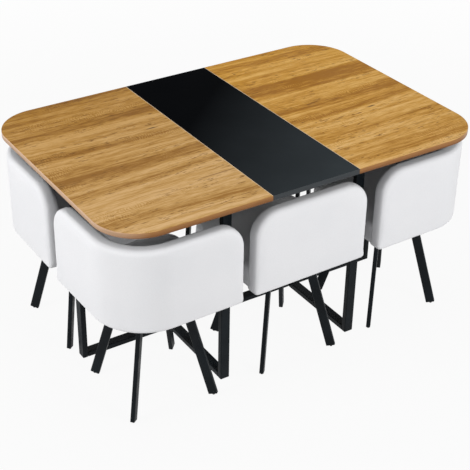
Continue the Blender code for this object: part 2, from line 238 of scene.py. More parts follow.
def coated_material(name, colours, grain, roughness, **sockets):
    """A sprayed or moulded black: cloudy in tone and gloss, finely pebbled."""
    material, tree, shader, place = new_material(name, **sockets)
    cloud = use_group(tree, patchy, place, Scale=9.0, Low=0.0, High=1.0)["Value"]
    tone = mix_colours(tree, cloud, srgb(colours[0]), srgb(colours[1]))
    tree.links.new(tone, shader.inputs["Base Color"])
    set_gloss(tree, shader, place, scale=23.0, low=roughness - GLOSS_CHANGE,
              high=roughness + GLOSS_CHANGE)
    pebbles = use_group(tree, pebble, place, Scale=grain)["Height"]
    set_bump(tree, shader, pebbles, strength=0.15, distance=0.0005)
    return material


def recoat(node, material):
    """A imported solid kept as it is, with a new material on it."""
    data = frame["nodes"][node].data
    data.materials.clear()
    data.materials.append(material)


def to_mesh(bm, name):
    """A form turned into a mesh of its own."""
    mesh = bpy.data.meshes.new(name)
    bm.to_mesh(mesh)
    bm.free()
    return mesh


def finish_piece(name, bm, materials, body, crease=40):
    """A finished form as a piece of the set: smooth but for its creases."""
    bmesh.ops.recalc_face_normals(bm, faces=bm.faces)
    mesh = to_mesh(bm, name)
    mesh.shade_smooth()
    mesh.set_sharp_from_angle(angle=math.radians(crease))
    for material in materials:
        mesh.materials.append(material)
    piece = new_item(name, mesh)
    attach(piece, body)
    return piece


def stamp(bm, mesh, matrix):
    """One more copy of a small shape, at its place."""
    before = len(bm.verts)
    bm.from_mesh(mesh)
    bm.verts.ensure_lookup_table()
    bmesh.ops.transform(bm, matrix=matrix, verts=bm.verts[before:])


def add_box(bm, size, middle=(0, 0, 0)):
    """A box of a given size about a middle point."""
    corners = bmesh.ops.create_cube(bm, size=1)["verts"]
    bmesh.ops.scale(bm, vec=size, verts=corners)
    bmesh.ops.translate(bm, vec=middle, verts=corners)


def round_edges(bm, edges, radius, segments):
    """Some edges of a form rounded over."""
    bmesh.ops.bevel(bm, geom=edges, offset=radius, segments=segments, profile=0.5,
                    affect="EDGES", material=-1)


def round_form(low_radius, high_radius, height, spot=(0, 0)):
    """A short round form that stands on zero."""
    bm = bmesh.new()
    bmesh.ops.create_cone(bm, cap_ends=True, segments=ROUND_SIDES, radius1=low_radius,
                          radius2=high_radius, depth=height,
                          matrix=Matrix.Translation((*spot, height / 2)))
    return bm


def stretch_face(bm, face, offset, factor):
    """Carry a face on by an offset and scale it about its middle, with new sides."""
    face = bmesh.ops.extrude_discrete_faces(bm, faces=[face])["faces"][0]
    middle = face.calc_center_median()
    for vert in face.verts:
        vert.co = middle + (vert.co - middle) * factor + offset
    return face


def add_weld(bm, start, end):
    """A rippled bead along one line: swollen rings, one beside the other."""
    count = max(3, round((end - start).length / WELD_STEP))
    bead = bmesh.new()
    made = bmesh.ops.create_circle(bead, cap_ends=True, segments=WELD_SIDES,
                                   radius=WELD_RADIUS * WELD_WAIST)
    face = made["verts"][0].link_faces[0]
    bmesh.ops.duplicate(bead, geom=[face])
    half_step = Vector((0, 0, (end - start).length / count / 2))
    for _ in range(count):
        face = stretch_face(bead, face, half_step, 1 / WELD_WAIST)
        face = stretch_face(bead, face, half_step, WELD_WAIST)
    bmesh.ops.remove_doubles(bead, verts=bead.verts, dist=JOIN_DISTANCE)
    mesh = to_mesh(bead, "weld_bead")
    turn = (end - start).to_track_quat("Z", "Y").to_matrix().to_4x4()
    stamp(bm, mesh, Matrix.Translation(start) @ turn)
    bpy.data.meshes.remove(mesh)


def baked(item):
    """An object's mesh with its modifiers applied; the object itself goes."""
    graph = bpy.context.evaluated_depsgraph_get()
    mesh = bpy.data.meshes.new_from_object(item.evaluated_get(graph))
    bpy.data.objects.remove(item)
    return mesh


def combined(item, others, self_crossing=False):
    """An object's mesh after its Boolean steps with others, which then go."""
    for operation, other in others:
        step = item.modifiers.new("step", "BOOLEAN")
        step.object = other
        step.operation = operation
        step.use_self = self_crossing
    mesh = baked(item)
    for _, other in others:
        bpy.data.objects.remove(other)
    return mesh


def make_screw_head():
    """A pan head with a cross recess, its flat face at zero and its dome up."""
    bm = round_form(SCREW_HEAD_RADIUS, SCREW_HEAD_RADIUS, SCREW_HEAD_HEIGHT)
    rim = [e for e in bm.edges if min(v.co.z for v in e.verts) > SCREW_HEAD_HEIGHT / 2]
    round_edges(bm, rim, SCREW_HEAD_HEIGHT * SCREW_ROUNDING, segments=3)
    cross = bmesh.new()
    for shares in ((1, RECESS_WIDTH, 1), (RECESS_WIDTH, 1, 1)):
        add_box(cross, Vector(shares) * SCREW_HEAD_RADIUS, (0, 0, SCREW_HEAD_HEIGHT))
    head = new_item("screw_head", to_mesh(bm, "screw_head"))
    recess = new_item("cross_recess", to_mesh(cross, "cross_recess"))
    return combined(head, [("DIFFERENCE", recess)], self_crossing=True)


black_coat = coated_material("black_powder_coat", (COAT_COLOUR, COAT_THICK_COLOUR), grain=520.0,
                             roughness=0.46, Specular_IOR_Level=0.10)
screw_steel = coated_material("blackened_screw", (SCREW_COLOUR, COAT_COLOUR), grain=900.0,
                              roughness=0.35, Metallic=0.8)
tube_names = [n for n in frame["nodes"] if "post" in n or "rail" in n]
for name in tube_names:
    recoat(name, black_coat)

screw_head = make_screw_head()
welds = bmesh.new()
screws = bmesh.new()
for name in tube_names:
    if "post" in name:
        continue
    low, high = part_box(name)
    lengthwise = name.startswith("long")
    along, across = (0, 1) if lengthwise else (1, 0)
    face_z = high.z if "floor" in name else low.z
    for end_at in (low[along], high[along]):
        start, end = Vector((0, 0, face_z)), Vector((0, 0, face_z))
        start[along] = end[along] = end_at
        start[across], end[across] = low[across] + WELD_RADIUS, high[across] - WELD_RADIUS
        add_weld(welds, start, end)
    if "top" in name:
        count = SCREWS_PER_LONG_RAIL if lengthwise else SCREWS_PER_CROSS_RAIL
        for number in range(count):
            spot = (low + high) / 2
            spot.z = low.z
            spot[along] = low[along] + (high[along] - low[along]) * ((number + 0.5) / count)
            stamp(screws, screw_head, Matrix.Translation(spot) @ UPSIDE_DOWN)
finish_piece("base_weld_beads", welds, [black_coat], "table")
finish_piece("top_fixing_screws", screws, [screw_steel], "table")


# Table top, the two wood boards: particle board with an oak-print film on top and a
# plain black film below, a dark sheet that deepens the shade under the top, a printed
# plastic band glued round the three outer sides, and a thin pale band where each board
# meets the black strip.
TOP_CORNER_RADIUS = 0.157
TOP_CORNER_SEGMENTS = 28
BAND_THICKNESS = 0.0010
JOINT_BAND_THICKNESS = 0.0022
BAND_ARRIS = 0.0005
JOINT_BAND_ARRIS = 0.00025
ARRIS_ANGLE = math.radians(60)
OAK_LAYERS = ((0.42, (0.6, 15.0, 15.0), 1.0, 0.5), (0.26, (2.4, 60.0, 60.0), 2.0, 0.5),
              (0.32, (20.0, 200.0, 200.0), 3.0, 0.7))
OAK_WANDER = 0.026
OAK_FIGURE_DEPTH = 0.075
OAK_TONE_STEPS = (0.405, 0.50, 0.595)
OAK_PORE_SHADE = (0.55, 0.52, 0.55)
OAK_KNOT_COLOUR = (58, 42, 28)
OAK_KNOT_SIZE = (0.020, 0.0045)
OAK_KNOT_RAGGEDNESS = 1.6
OAK_KNOT_EDGE = (1.2, 2.0)
OAK_KNOT_STRENGTH = 0.85
# Span in Y from the far tones to the near ones: a painted reflection, paler towards the front.
OAK_PAINTED_REFLECTION_SPAN = (0.45, -0.45)
JOINT_BAND_COLOUR = (214, 190, 158)
# Band colours low and high on the band: painted shade below, painted light at the top; the pale end
# pair is a painted lit copy of the brown.
SIDE_BAND_PAINTED_SHADING_COLOURS = ((128, 84, 48), (174, 124, 74))
END_BAND_PAINTED_LIGHT_COLOURS = ((176, 140, 112), (222, 188, 156))
PAINTED_LIGHT_END_FROM = (0.60, 0.72)
BAND_STREAK_SHADE = (0.78, 0.76, 0.74)
# Black only to deepen the shade under the top: a dark sheet where there is only shade.
SHADE_DEEPENING_BACKING_COLOUR = (16, 16, 17)
# Each board: its side, its seed, its far tones, its near tones with a painted reflection on them,
# and its knot's spot.
WOOD_BOARDS = {
    "left": (-1, 3.7, ((128, 82, 16), (167, 120, 44), (193, 149, 82)),
             ((152, 108, 50), (189, 148, 88), (211, 173, 122)), (-0.257, 0.129)),
    "right": (1, 5.2, ((152, 98, 10), (196, 142, 48), (219, 172, 90)),
              ((152, 102, 28), (190, 142, 66), (216, 174, 110)), (0.498, -0.123)),
}


def board_blank(low, high, rounded_side=0, radius=0):
    """A board's blank: a box, with two corners on one side in X rounded if wanted."""
    bm = bmesh.new()
    add_box(bm, high - low, (low + high) / 2)
    if radius:
        middle = (low.x + high.x) / 2
        upright = [e for e in bm.edges
                   if abs(e.verts[0].co.z - e.verts[1].co.z) > (high.z - low.z) / 2
                   and (e.verts[0].co.x - middle) * rounded_side > 0]
        round_edges(bm, upright, radius, TOP_CORNER_SEGMENTS)
    return bm


def lined_below(bm):
    """A board with its underside on the second material."""
    for face in bm.faces:
        face.material_index = 1 if face.normal.z < -0.5 else 0
    return bm


def board_core(low, high, side):
    """The wood board inside its bands."""
    inset = Vector((BAND_THICKNESS, BAND_THICKNESS, 0))
    low, high = low + inset, high - inset
    if side < 0:
        high.x += BAND_THICKNESS - JOINT_BAND_THICKNESS
    else:
        low.x -= BAND_THICKNESS - JOINT_BAND_THICKNESS
    return lined_below(board_blank(low, high, side, TOP_CORNER_RADIUS - BAND_THICKNESS))


def edge_band(low, high, side):
    """The band round a board's outer sides, cut off square at the joint."""
    joint_x = high.x if side < 0 else low.x
    spare = Vector((2 * BAND_THICKNESS, 0, 0))
    bm = board_blank(low if side < 0 else low - spare, high + spare if side < 0 else high,
                     side, TOP_CORNER_RADIUS)
    flats = [f for f in bm.faces if abs(f.normal.z) > 0.5]
    bmesh.ops.inset_region(bm, faces=flats, thickness=BAND_THICKNESS, use_even_offset=True,
                           use_boundary=True)
    bmesh.ops.delete(bm, geom=flats, context="FACES")
    bmesh.ops.bridge_loops(bm, edges=[e for e in bm.edges if e.is_boundary])
    bmesh.ops.bisect_plane(bm, geom=bm.verts[:] + bm.edges[:] + bm.faces[:],
                           plane_co=(joint_x, 0, 0), plane_no=(-side, 0, 0), clear_outer=True)
    bmesh.ops.holes_fill(bm, edges=[e for e in bm.edges if e.is_boundary])
    return bm


def joint_band(low, high, side):
    """The thin band on the side where a board meets the strip."""
    inset = Vector((0, BAND_THICKNESS, 0))
    low, high = low + inset, high - inset
    if side < 0:
        low.x = high.x - JOINT_BAND_THICKNESS
    else:
        high.x = low.x + JOINT_BAND_THICKNESS
    return board_blank(low, high)


def noise_between(tree, place, stretch, limits, detail=2.0, roughness=0.5, full=1.0):
    """Stretched noise, nothing below the first limit and full above the second."""
    noise = stretched_noise(tree, place, stretch, detail, roughness)
    return spread(tree, noise, *limits, 0.0, full)


def make_oak_group():
    """Printed oak, along the X axis: layers of tone, pores in rows, cracks, figure.

    Each layer has its weight, its waves a metre, its detail and its roughness.
    """
    group, given, results = new_group("oak_print", {"Seed": 0.0}, ["Tone", "Pores", "Height"])
    seed = add_node(group, "ShaderNodeCombineXYZ", {"X": given["Seed"], "Y": given["Seed"]})
    moved = reckon_vector(group, "ADD", given["Vector"], seed.outputs[0])
    wander = stretched_noise(group, moved, (1.4, 3.0, 3.0), detail=1.0)
    drift = add_node(group, "ShaderNodeCombineXYZ",
                     {"Y": spread(group, wander, 0.0, 1.0, -OAK_WANDER, OAK_WANDER)})
    place = reckon_vector(group, "ADD", moved, drift.outputs[0])
    tone = 0.0
    for weight, stretch, detail, roughness in OAK_LAYERS:
        layer = stretched_noise(group, place, stretch, detail, roughness)
        tone = reckon(group, "MULTIPLY_ADD", layer, weight, tone)
    ripple = add_node(group, "ShaderNodeTexWave",
                      {"Vector": place, "Scale": 34.0, "Distortion": 13.0, "Detail": 2.0,
                       "Detail Scale": 0.9}, wave_type="BANDS", bands_direction="X").outputs["Fac"]
    figure_spots = noise_between(group, place, (3.2, 12.0, 12.0), (0.56, 0.68), detail=1.0)
    figure = reckon(group, "MULTIPLY", reckon(group, "ADD", ripple, -0.5), figure_spots)
    dashes = noise_between(group, place, (34.0, 170.0, 170.0), (0.57, 0.70), roughness=0.6)
    rows = noise_between(group, place, (2.4, 26.0, 26.0), (0.44, 0.58))
    cracks = noise_between(group, place, (3.4, 90.0, 90.0), (0.68, 0.78), roughness=0.6, full=0.7)
    pores = reckon(group, "MULTIPLY", dashes, rows)
    group.links.new(reckon(group, "MULTIPLY_ADD", figure, OAK_FIGURE_DEPTH, tone), results["Tone"])
    group.links.new(reckon(group, "MAXIMUM", pores, cracks), results["Pores"])
    group.links.new(stretched_noise(group, place, (14.0, 420.0, 420.0)), results["Height"])
    return group


oak_print = make_oak_group()


def knot_mask(tree, place, spot):
    """Strong where a small knot lies in the print: a ragged dark almond along the grain."""
    ragged = stretched_noise(tree, place, (60.0, 260.0, 0.0))
    offset = reckon_vector(tree, "SUBTRACT", place, (*spot, 0))
    shares = reckon_vector(tree, "MULTIPLY", offset, (*[1 / size for size in OAK_KNOT_SIZE], 0))
    reach = reckon_vector(tree, "LENGTH", shares, result="Value")
    edge = reckon(tree, "MULTIPLY_ADD", ragged, OAK_KNOT_RAGGEDNESS, reach)
    return spread(tree, edge, *OAK_KNOT_EDGE, OAK_KNOT_STRENGTH, 0.0)


def oak_material(name, seed, far, painted_reflection_colours, knot):
    """The print as laid on one board, deeper in tone at its far side and paler at its near side, a
    painted reflection.
    """
    material, tree, shader, place = new_material(name, Specular_IOR_Level=0.05)
    print_on = use_group(tree, oak_print, place, Seed=seed)
    depth = add_node(tree, "ShaderNodeSeparateXYZ", {"Vector": place}).outputs["Y"]
    # Painted reflection: the colours grow paler from the far side to the near side.
    painted_reflection_share = spread(tree, depth, *OAK_PAINTED_REFLECTION_SPAN)
    dark, middle, light = [mix_colours(tree, painted_reflection_share, srgb(a), srgb(b))
                           for a, b in zip(far, painted_reflection_colours)]
    low_step, middle_step, high_step = OAK_TONE_STEPS
    tone = print_on["Tone"]
    darker = mix_colours(tree, spread(tree, tone, low_step, middle_step), dark, middle)
    lighter = mix_colours(tree, spread(tree, tone, middle_step, high_step), darker, light)
    shade = reckon_vector(tree, "MULTIPLY", dark, OAK_PORE_SHADE)
    pored = mix_colours(tree, print_on["Pores"], lighter, shade)
    knotted = mix_colours(tree, knot_mask(tree, place, knot), pored, srgb(OAK_KNOT_COLOUR))
    tree.links.new(knotted, shader.inputs["Base Color"])
    set_gloss(tree, shader, place, scale=5.0, low=0.35, high=0.46)
    set_bump(tree, shader, print_on["Height"], strength=0.10, distance=0.0003)
    return material


def brushed(tree, place):
    """Fine streaks along a film or a band."""
    return noise_between(tree, place, (14.0, 14.0, 420.0), (0.3, 0.7))


def film_material(name, colour, roughness, contrast):
    """A plain film or band: one colour, faintly clouded and brushed along its length."""
    material, tree, shader, place = new_material(name, Specular_IOR_Level=0.2)
    deep = srgb([c * (1 - contrast) for c in colour])
    tone = mix_colours(tree, brushed(tree, place), deep, srgb(colour))
    tree.links.new(tone, shader.inputs["Base Color"])
    set_gloss(tree, shader, place, scale=12.0, low=roughness - 0.05, high=roughness + 0.05)
    return material


def band_material(low_z, high_z):
    """The printed edge band, brown all round: painted shade low on it, painted light at its top,
    and painted light that makes its two end sides pale.
    """
    material, tree, shader, place = new_material("oak_edge_band", Roughness=0.45,
                                                 Specular_IOR_Level=0.2)
    spot = add_node(tree, "ShaderNodeSeparateXYZ", {"Vector": place}).outputs
    # Painted shade and light: darker low on the band, lighter at its top.
    rise = spread(tree, spot["Z"], low_z, high_z)
    # Painted light: the two end sides paler than the long ones.
    painted_light_end_share = spread(tree, reckon(tree, "ABSOLUTE", spot["X"]), *PAINTED_LIGHT_END_FROM)
    streaks = brushed(tree, place)
    tones = []
    for painted_shade_colour, painted_light_colour in (SIDE_BAND_PAINTED_SHADING_COLOURS, END_BAND_PAINTED_LIGHT_COLOURS):
        tone = mix_colours(tree, rise, srgb(painted_shade_colour), srgb(painted_light_colour))
        deep = reckon_vector(tree, "MULTIPLY", tone, BAND_STREAK_SHADE)
        tones.append(mix_colours(tree, streaks, deep, tone))
    tree.links.new(mix_colours(tree, painted_light_end_share, *tones), shader.inputs["Base Color"])
    return material


def soften_arrises(piece, width):
    """Break the sharp edges of a piece by a small radius."""
    bevel = piece.modifiers.new("arris", "BEVEL")
    bevel.width = width
    bevel.segments = 2
    bevel.limit_method = "ANGLE"
    bevel.angle_limit = ARRIS_ANGLE


# The dark underside film deepens the shade under the top and under the strip.
shade_deepening_backing = film_material("backing_film", SHADE_DEEPENING_BACKING_COLOUR, roughness=0.6, contrast=0.06)
joint_edge = film_material("pale_joint_band", JOINT_BAND_COLOUR, roughness=0.5, contrast=0.08)
low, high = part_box("table_top_left")
band_film = band_material(low.z, high.z)
for side_name, (side, seed, far_tones, painted_reflection_tones, knot) in WOOD_BOARDS.items():
    node = f"table_top_{side_name}"
    low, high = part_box(node)
    print_film = oak_material(f"oak_print_{side_name}", seed, far_tones, painted_reflection_tones, knot)
    core = finish_piece(f"top_board_{side_name}", board_core(low, high, side),
                        [print_film, shade_deepening_backing], "table")
    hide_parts(node)
    band = finish_piece(f"top_band_{side_name}", edge_band(low, high, side), [band_film],
                        "table")
    joint = finish_piece(f"top_joint_band_{side_name}", joint_band(low, high, side), [joint_edge],
                         "table")
    soften_arrises(band, BAND_ARRIS)
    soften_arrises(joint, JOINT_BAND_ARRIS)


# Black strip: the board between the two wood ones, faced with a black satin laminate,
# with a slate-black band glued on its front and rear edge.
# From the far colour to the near one is a painted reflection: near black at the far end, grey at
# the front right.
STRIP_FAR_COLOUR = (4, 5, 7)
STRIP_PAINTED_REFLECTION_COLOUR = (51, 56, 59)
STRIP_BAND_COLOUR = (60, 64, 67)
STRIP_BAND_ARRIS = 0.0004
STRIP_PAINTED_REFLECTION_SPAN = (0.20, -0.60)
STRIP_PAINTED_REFLECTION_SLANT = -0.9


def laminate_material():
    """Black laminate: fine pebble, faint handling marks, paler towards its front as a painted
    reflection.
    """
    material, tree, shader, place = new_material("black_laminate", Specular_IOR_Level=0.002)
    spot = add_node(tree, "ShaderNodeSeparateXYZ", {"Vector": place}).outputs
    # Painted reflection, slanted across the strip, in place of the laminate's own gloss.
    painted_reflection_reach = reckon(tree, "MULTIPLY_ADD", spot["X"], STRIP_PAINTED_REFLECTION_SLANT, spot["Y"])
    tone = mix_colours(tree, spread(tree, painted_reflection_reach, *STRIP_PAINTED_REFLECTION_SPAN), srgb(STRIP_FAR_COLOUR),
                       srgb(STRIP_PAINTED_REFLECTION_COLOUR))
    marks = use_group(tree, patchy, place, Scale=7.0, Low=0.94, High=1.06)["Value"]
    tree.links.new(reckon_vector(tree, "MULTIPLY", tone, marks), shader.inputs["Base Color"])
    set_gloss(tree, shader, place, scale=4.0, low=0.40, high=0.48)
    pebbles = use_group(tree, pebble, place, Scale=700.0)["Height"]
    set_bump(tree, shader, pebbles, strength=0.08, distance=0.0003)
    return material


strip_band_film = film_material("slate_band", STRIP_BAND_COLOUR, roughness=0.4, contrast=0.12)
low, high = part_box("table_top_strip")
inset = Vector((0, BAND_THICKNESS, 0))
strip = finish_piece("top_strip_board", lined_below(board_blank(low + inset, high - inset)),
                     [laminate_material(), shade_deepening_backing], "table")
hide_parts("table_top_strip")
for end_name, near_y, far_y in (("front", low.y, low.y + BAND_THICKNESS),
                                ("rear", high.y - BAND_THICKNESS, high.y)):
    blank = board_blank(Vector((low.x, near_y, low.z)), Vector((high.x, far_y, high.z)))
    band = finish_piece(f"top_strip_band_{end_name}", blank, [strip_band_film], "table")
    soften_arrises(band, STRIP_BAND_ARRIS)


# Chair backs: bent plywood under foam in white leatherette. Four wrap round a corner
# and two are straight. The cover is closed by a stitched seam along its inner rim.
BACK_THICKNESS = 0.054
BACK_END_REACH = 0.003
BACK_EDGE_RADIUS = 0.018
BACK_HEM_RADIUS = 0.007
BACK_HEM_RISE = 0.034
BACK_TOP_CORNER_RADIUS = 0.088
BACK_BOTTOM_CORNER_RADIUS = 0.012
BACK_BEND_RADIUS = 0.185
BACK_BEND_COLUMNS = 30
EDGE_STEPS = 7
CORNER_STEPS = 16
PAD_VOXEL = 0.0056
PAD_PRESSURE = 4.0
SIM_FRAMES = 20
FULL_SWELL = 0.020
BACK_SHRINK = 0.0008
BACK_SWELL = 0.0025
SEAM_INSET = 0.010
SEAM_RADIUS = 0.0011
SEAM_STEP = 0.008
SEAM_LIFT = 0.2
LEATHER_COLOUR = (238, 238, 240)
LEATHER_SHADE_COLOUR = (229, 230, 233)
SEAM_COLOUR = (214, 215, 219)
CREASE_BEND = (0.004, 0.004, 0.004)
CREASE_WIDTH = 0.16
# Painted shade in the grain's creases: its share and how dark it is.
CREASE_PAINTED_SHADE_DEPTH = 0.35
CREASE_PAINTED_SHADE = 0.95
PACK_JOIN_DISTANCE = 0.00002
UPRIGHT_TOLERANCE = 0.02


def held(share):
    """A share held between nothing and all."""
    return min(1, max(0, share))


def corners_of(bm):
    """The low and the high corner of the box round a form."""
    spots = [vert.co for vert in bm.verts]
    return [Vector([end(spot[axis] for spot in spots) for axis in range(3)]) for end in (min, max)]


def welded_copy(node, matrix=Matrix.Identity(4)):
    """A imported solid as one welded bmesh, moved by a matrix."""
    bm = bmesh.new()
    bm.from_mesh(frame["nodes"][node].data)
    bmesh.ops.remove_doubles(bm, verts=bm.verts, dist=PACK_JOIN_DISTANCE)
    bmesh.ops.transform(bm, matrix=matrix, verts=bm.verts)
    return bm


def chair_place(name):
    """A chair's place and turn, and half its side, read from its packed back.

    About its own middle, a chair's back stands along its low sides.
    """
    bm = welded_copy(f"{name}_back")
    flat = max((f for f in bm.faces if abs(f.normal.z) < UPRIGHT_TOLERANCE),
               key=lambda f: f.calc_area())
    back_middle = sum((v.co for v in bm.verts), Vector()) / len(bm.verts)
    seat_low, seat_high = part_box(f"{name}_seat_board")
    away = back_middle - (seat_low + seat_high) / 2
    nominal = -math.pi / 2 if "middle" in name else -3 * math.pi / 4
    rough = math.atan2(away.y, away.x) - nominal
    fine = math.atan2(flat.normal.y, flat.normal.x)
    turn = fine + round((rough - fine) / (math.pi / 2)) * math.pi / 2
    bmesh.ops.rotate(bm, matrix=Matrix.Rotation(-turn, 3, "Z"), verts=bm.verts)
    low, high = corners_of(bm)
    bm.free()
    low_x = low.x + BACK_END_REACH if "middle" in name else low.x
    half = (high.x - BACK_END_REACH - low_x) / 2
    spin = Matrix.Rotation(turn, 4, "Z")
    return spin @ Matrix.Translation((low_x + half, low.y + half, 0)), half


def arc_points(centre, radius, start, steps):
    """A quarter turn of points, from a start angle in degrees."""
    angles = [math.radians(start + 90 * step / steps) for step in range(steps + 1)]
    return [Vector((centre[0] + radius * math.cos(a), centre[1] + radius * math.sin(a)))
            for a in angles]


def raised_form(outline, rings, close_top=False):
    """A closed form raised ring by ring: each ring gives the place of an outline point."""
    bm = bmesh.new()
    face = bm.faces.new([bm.verts.new(rings[0](*pair)) for pair in outline])
    bmesh.ops.duplicate(bm, geom=[face])
    for ring in rings[1:]:
        face = bmesh.ops.extrude_discrete_faces(bm, faces=[face])["faces"][0]
        for vert, pair in zip(face.verts, outline):
            vert.co = ring(*pair)
    if close_top:
        bmesh.ops.poke(bm, faces=[face])
    bmesh.ops.remove_doubles(bm, verts=bm.verts, dist=JOIN_DISTANCE)
    bmesh.ops.recalc_face_normals(bm, faces=bm.faces)
    return bm


def with_inward(points):
    """Each point of a closed anticlockwise outline with its inward direction."""
    pairs = []
    for index, point in enumerate(points):
        before = (point - points[index - 1]).normalized()
        after = (points[(index + 1) % len(points)] - point).normalized()
        along = (before + after).normalized()
        pairs.append((point, Vector((-along.y, along.x))))
    return pairs


def back_outline(length, low_z, high_z, inset=0.0):
    """The back seen flat from outside: full corners at the top, small ones below."""
    full, small = BACK_TOP_CORNER_RADIUS - inset, BACK_BOTTOM_CORNER_RADIUS
    left, wide = inset + small - BACK_END_REACH, length + BACK_END_REACH - inset - small
    bottom, top = low_z + inset + small, high_z - BACK_TOP_CORNER_RADIUS
    points = arc_points((left, bottom), small, 180, CORNER_STEPS // 4)
    points += arc_points((wide, bottom), small, 270, CORNER_STEPS // 4)
    points.append(Vector((wide + small, low_z + BACK_HEM_RISE)))
    points += arc_points((wide + small - full, top), full, 0, CORNER_STEPS)
    points += arc_points((left - small + full, top), full, 90, CORNER_STEPS)
    points.append(Vector((left - small, low_z + BACK_HEM_RISE)))
    return points


def wrap(point, half, wrapped):
    """A point of the flat back, X along it, Y outwards, Z up, set round the chair."""
    if not wrapped:
        return Vector((half - point.x, -half + BACK_THICKNESS / 2 - point.y, point.z))
    straight = 2 * half - BACK_BEND_RADIUS
    middle_radius = BACK_BEND_RADIUS - BACK_THICKNESS / 2
    bend = middle_radius * math.pi / 2
    centre = -half + BACK_BEND_RADIUS
    radius = middle_radius + point.y
    if point.x < straight:
        return Vector((centre - radius, half - point.x, point.z))
    if point.x > straight + bend:
        return Vector((centre + point.x - straight - bend, centre - radius, point.z))
    angle = (point.x - straight) / middle_radius
    return Vector((centre - radius * math.cos(angle), centre - radius * math.sin(angle), point.z))


def back_length(half, wrapped):
    """The back's length along its middle, before it is bent."""
    bend = (BACK_BEND_RADIUS - BACK_THICKNESS / 2) * math.pi / 2
    return 2 * (2 * half - BACK_BEND_RADIUS) + bend if wrapped else 2 * half


def back_blank(half, wrapped, low_z, high_z):
    """The back's foam form: its edges rolled over, tight at the hem, then bent."""

    def rolled(side, turn):
        def place(point, inward):
            share = held((point.y - low_z) / BACK_HEM_RISE)
            radius = BACK_HEM_RADIUS + (BACK_EDGE_RADIUS - BACK_HEM_RADIUS) * share
            spot = point + inward * radius * (1 - math.cos(turn))
            depth = BACK_THICKNESS / 2 - radius * (1 - math.sin(turn))
            return Vector((spot.x, side * depth, spot.y))
        return place

    turns = [math.pi / 2 * step / EDGE_STEPS for step in range(EDGE_STEPS + 1)]
    rings = [rolled(-1, turn) for turn in reversed(turns)] + [rolled(1, turn) for turn in turns]
    length = back_length(half, wrapped)
    bm = raised_form(with_inward(back_outline(length, low_z, high_z)), rings)
    if wrapped:
        straight = 2 * half - BACK_BEND_RADIUS
        bend = length - 2 * straight
        for step in range(BACK_BEND_COLUMNS + 1):
            cut = straight + bend * step / BACK_BEND_COLUMNS
            bmesh.ops.bisect_plane(bm, geom=bm.verts[:] + bm.edges[:] + bm.faces[:],
                                   dist=JOIN_DISTANCE, plane_co=(cut, 0, 0), plane_no=(1, 0, 0))
    for vert in bm.verts:
        vert.co = wrap(vert.co, half, wrapped)
    bmesh.ops.recalc_face_normals(bm, faces=bm.faces)
    return bm


def from_mesh(mesh):
    """A mesh taken over into a form."""
    bm = bmesh.new()
    bm.from_mesh(mesh)
    bpy.data.meshes.remove(mesh)
    return bm


def remeshed(bm):
    """A form rebuilt from even small faces."""
    item = new_item("remesh", to_mesh(bm, "remesh"))
    remesh = item.modifiers.new("remesh", "REMESH")
    remesh.mode = "VOXEL"
    remesh.voxel_size = PAD_VOXEL
    return from_mesh(baked(item))


def swell(bm, base, full_rise, shrink, reach):
    """Foam pressing its cover out, from nothing at the base to all at the full rise.

    The form is drawn in a little and blown up as cloth, and each point then goes out
    along its normal by its share of a full swell.
    """
    bm.normal_update()
    starts = [(vert.co.copy(), vert.normal.copy()) for vert in bm.verts]
    rises = [held((start.z - base) / full_rise) for start, _ in starts]
    for vert, (_, normal), rise in zip(bm.verts, starts, rises):
        vert.co -= normal * (shrink * rise)
    mesh = bpy.data.meshes.new("pad")
    bm.to_mesh(mesh)
    item = new_item("pad", mesh)
    cloth = item.modifiers.new("cover", "CLOTH")
    cloth.settings.use_pressure = True
    cloth.settings.uniform_pressure_force = PAD_PRESSURE
    cloth.settings.effector_weights.gravity = 0
    cloth.collision_settings.use_collision = False
    cloth.point_cache.frame_start = 1
    cloth.point_cache.frame_end = SIM_FRAMES
    scene = bpy.context.scene
    for number in range(1, SIM_FRAMES + 1):
        scene.frame_set(number)
    blown = baked(item)
    scene.frame_set(1)
    for vert, moved, (_, normal), rise in zip(bm.verts, blown.vertices, starts, rises):
        share = held((moved.co - vert.co).dot(normal) / FULL_SWELL)
        vert.co += normal * share * (reach * rise)
    bpy.data.meshes.remove(blown)


def smooth(bm, times):
    """Ease out the small steps between the even faces."""
    for _ in range(times):
        bmesh.ops.smooth_vert(bm, verts=bm.verts, factor=0.5, use_axis_x=True,
                              use_axis_y=True, use_axis_z=True)


def back_form(half, wrapped, low_z, high_z):
    """A padded back about the chair's own middle."""
    bm = remeshed(back_blank(half, wrapped, low_z, high_z))
    swell(bm, low_z, 2 * BACK_HEM_RISE, BACK_SHRINK, BACK_SWELL)
    smooth(bm, 1)
    return bm


def make_leather_group():
    """Pressed leather grain: soft pebbles with fine creases between them."""
    group, given, results = new_group("leather_grain", {"Scale": 480.0}, ["Height"])
    bent = add_node(group, "ShaderNodeTexNoise",
                    {"Vector": given["Vector"], "Scale": 160.0, "Detail": 2.0})
    shifted = reckon_vector(group, "MULTIPLY_ADD", bent.outputs["Color"], CREASE_BEND,
                            given["Vector"])
    cells = add_node(group, "ShaderNodeTexVoronoi", {"Vector": shifted, "Scale": given["Scale"]},
                     feature="DISTANCE_TO_EDGE")
    height = spread(group, cells.outputs["Distance"], 0.0, CREASE_WIDTH)
    group.links.new(height, results["Height"])
    return group


leather_grain = make_leather_group()


